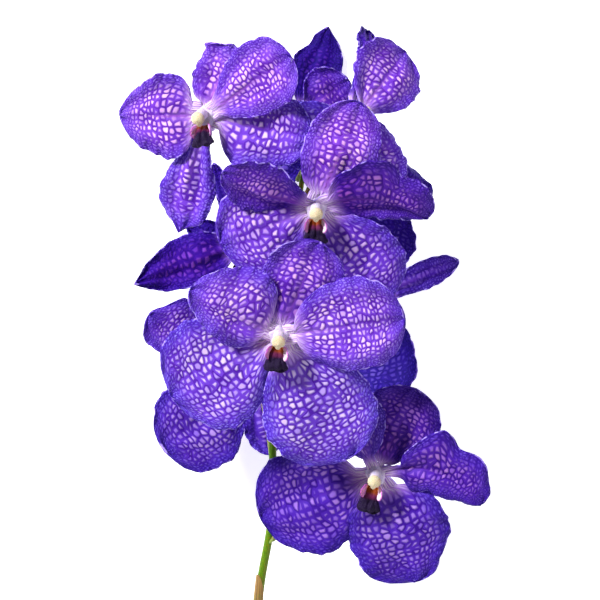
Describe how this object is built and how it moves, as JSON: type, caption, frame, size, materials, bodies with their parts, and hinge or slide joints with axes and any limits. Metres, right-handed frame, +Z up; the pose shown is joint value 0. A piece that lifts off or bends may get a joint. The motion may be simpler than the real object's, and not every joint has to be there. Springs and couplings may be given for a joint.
{
  "type": "vanda orchid stem",
  "caption": "Cut spike of a blue-violet vanda orchid lying on its back: netted round blooms on curved stalks round a green stem, with dark lips and pale columns.",
  "frame": {"origin": "middle of the spike's outline, on the table that it lies on", "axes": "+Y along the stem from its cut end to the top bloom, +Z up from the table, where the front blooms look, +X to the right as one looks down on them"},
  "size_m": [0.1498, 0.3286, 0.1019],
  "materials": {
    "stem": "smooth green skin with a slight sheen",
    "tepals": "soft waxy petal, violet net over pale lilac",
    "column": "waxy cream white",
    "lip": "satin black-violet"
  },
  "bodies": {
    "root": {"stem": "stem", "tepals_a": "tepals", "column_a": "column", "lip_a": "lip", "tepals_b": "tepals", "column_b": "column", "lip_b": "lip", "tepals_c": "tepals", "column_c": "column", "lip_c": "lip", "tepals_d": "tepals", "column_d": "column", "lip_d": "lip", "tepals_e": "tepals", "column_e": "column", "lip_e": "lip", "tepals_f": "tepals", "column_f": "column", "lip_f": "lip", "tepals_g": "tepals", "column_g": "column", "lip_g": "lip", "tepals_h": "tepals", "column_h": "column", "lip_h": "lip", "tepals_i": "tepals", "column_i": "column", "lip_i": "lip"}
  },
  "joints": []
}
